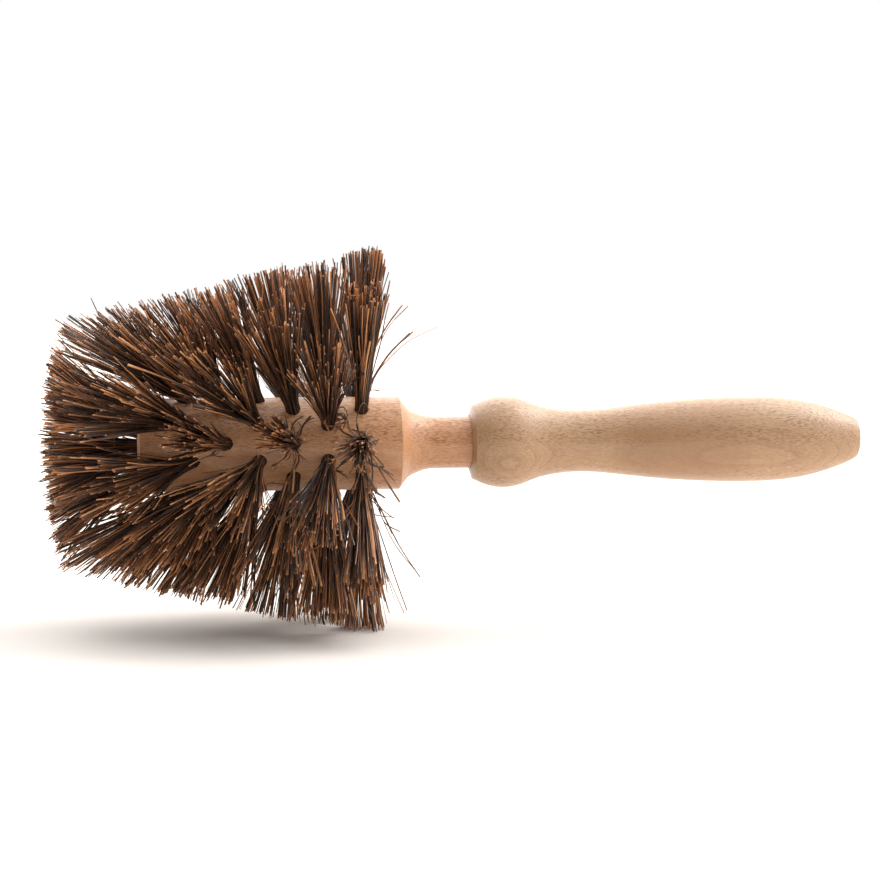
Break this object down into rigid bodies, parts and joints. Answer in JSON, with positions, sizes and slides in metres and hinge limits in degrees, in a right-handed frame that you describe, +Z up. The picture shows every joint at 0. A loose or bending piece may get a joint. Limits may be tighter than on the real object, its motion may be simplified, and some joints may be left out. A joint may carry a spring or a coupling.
{
  "type": "palm fibre brush",
  "caption": "Turned beech brush with a conical head of stiff palm fibre tufts on a drilled barrel and a long shaped handle.",
  "frame": {"origin": "on the ground under the middle of the brush's length and width, as it lies on its lowest bristles", "axes": "+X along the brush's axis toward the handle's end, the tufted tip at -X, +Z up"},
  "size_m": [0.3333, 0.1512, 0.1497],
  "materials": {
    "beech": "matte",
    "palm_fibre": "satin",
    "staple_wire": "satin"
  },
  "bodies": {
    "root": {"brush_head": "beech", "handle": "beech", "tuft_end_1": "palm_fibre", "tuft_end_2": "palm_fibre", "tuft_end_3": "palm_fibre", "tuft_end_4": "palm_fibre", "tuft_end_5": "palm_fibre", "tuft_end_6": "palm_fibre", "tuft_end_middle": "palm_fibre", "tuft_ring_1_1": "palm_fibre", "tuft_ring_1_2": "palm_fibre", "tuft_ring_1_3": "palm_fibre", "tuft_ring_1_4": "palm_fibre", "tuft_ring_1_5": "palm_fibre", "tuft_ring_1_6": "palm_fibre", "tuft_ring_1_7": "palm_fibre", "tuft_ring_1_8": "palm_fibre", "tuft_ring_2_1": "palm_fibre", "tuft_ring_2_2": "palm_fibre", "tuft_ring_2_3": "palm_fibre", "tuft_ring_2_4": "palm_fibre", "tuft_ring_2_5": "palm_fibre", "tuft_ring_2_6": "palm_fibre", "tuft_ring_2_7": "palm_fibre", "tuft_ring_2_8": "palm_fibre", "tuft_ring_3_1": "palm_fibre", "tuft_ring_3_2": "palm_fibre", "tuft_ring_3_3": "palm_fibre", "tuft_ring_3_4": "palm_fibre", "tuft_ring_3_5": "palm_fibre", "tuft_ring_3_6": "palm_fibre", "tuft_ring_3_7": "palm_fibre", "tuft_ring_3_8": "palm_fibre", "tuft_ring_4_1": "palm_fibre", "tuft_ring_4_2": "palm_fibre", "tuft_ring_4_3": "palm_fibre", "tuft_ring_4_4": "palm_fibre", "tuft_ring_4_5": "palm_fibre", "tuft_ring_4_6": "palm_fibre", "tuft_ring_4_7": "palm_fibre", "tuft_ring_4_8": "palm_fibre", "tuft_ring_5_1": "palm_fibre", "tuft_ring_5_2": "palm_fibre", "tuft_ring_5_3": "palm_fibre", "tuft_ring_5_4": "palm_fibre", "tuft_ring_5_5": "palm_fibre", "tuft_ring_5_6": "palm_fibre", "tuft_ring_5_7": "palm_fibre", "tuft_ring_5_8": "palm_fibre", "tuft_ring_6_1": "palm_fibre", "tuft_ring_6_2": "palm_fibre", "tuft_ring_6_3": "palm_fibre", "tuft_ring_6_4": "palm_fibre", "tuft_ring_6_5": "palm_fibre", "tuft_ring_6_6": "palm_fibre", "tuft_ring_6_7": "palm_fibre", "tuft_ring_6_8": "palm_fibre", "tuft_staples": "staple_wire"}
  },
  "joints": []
}
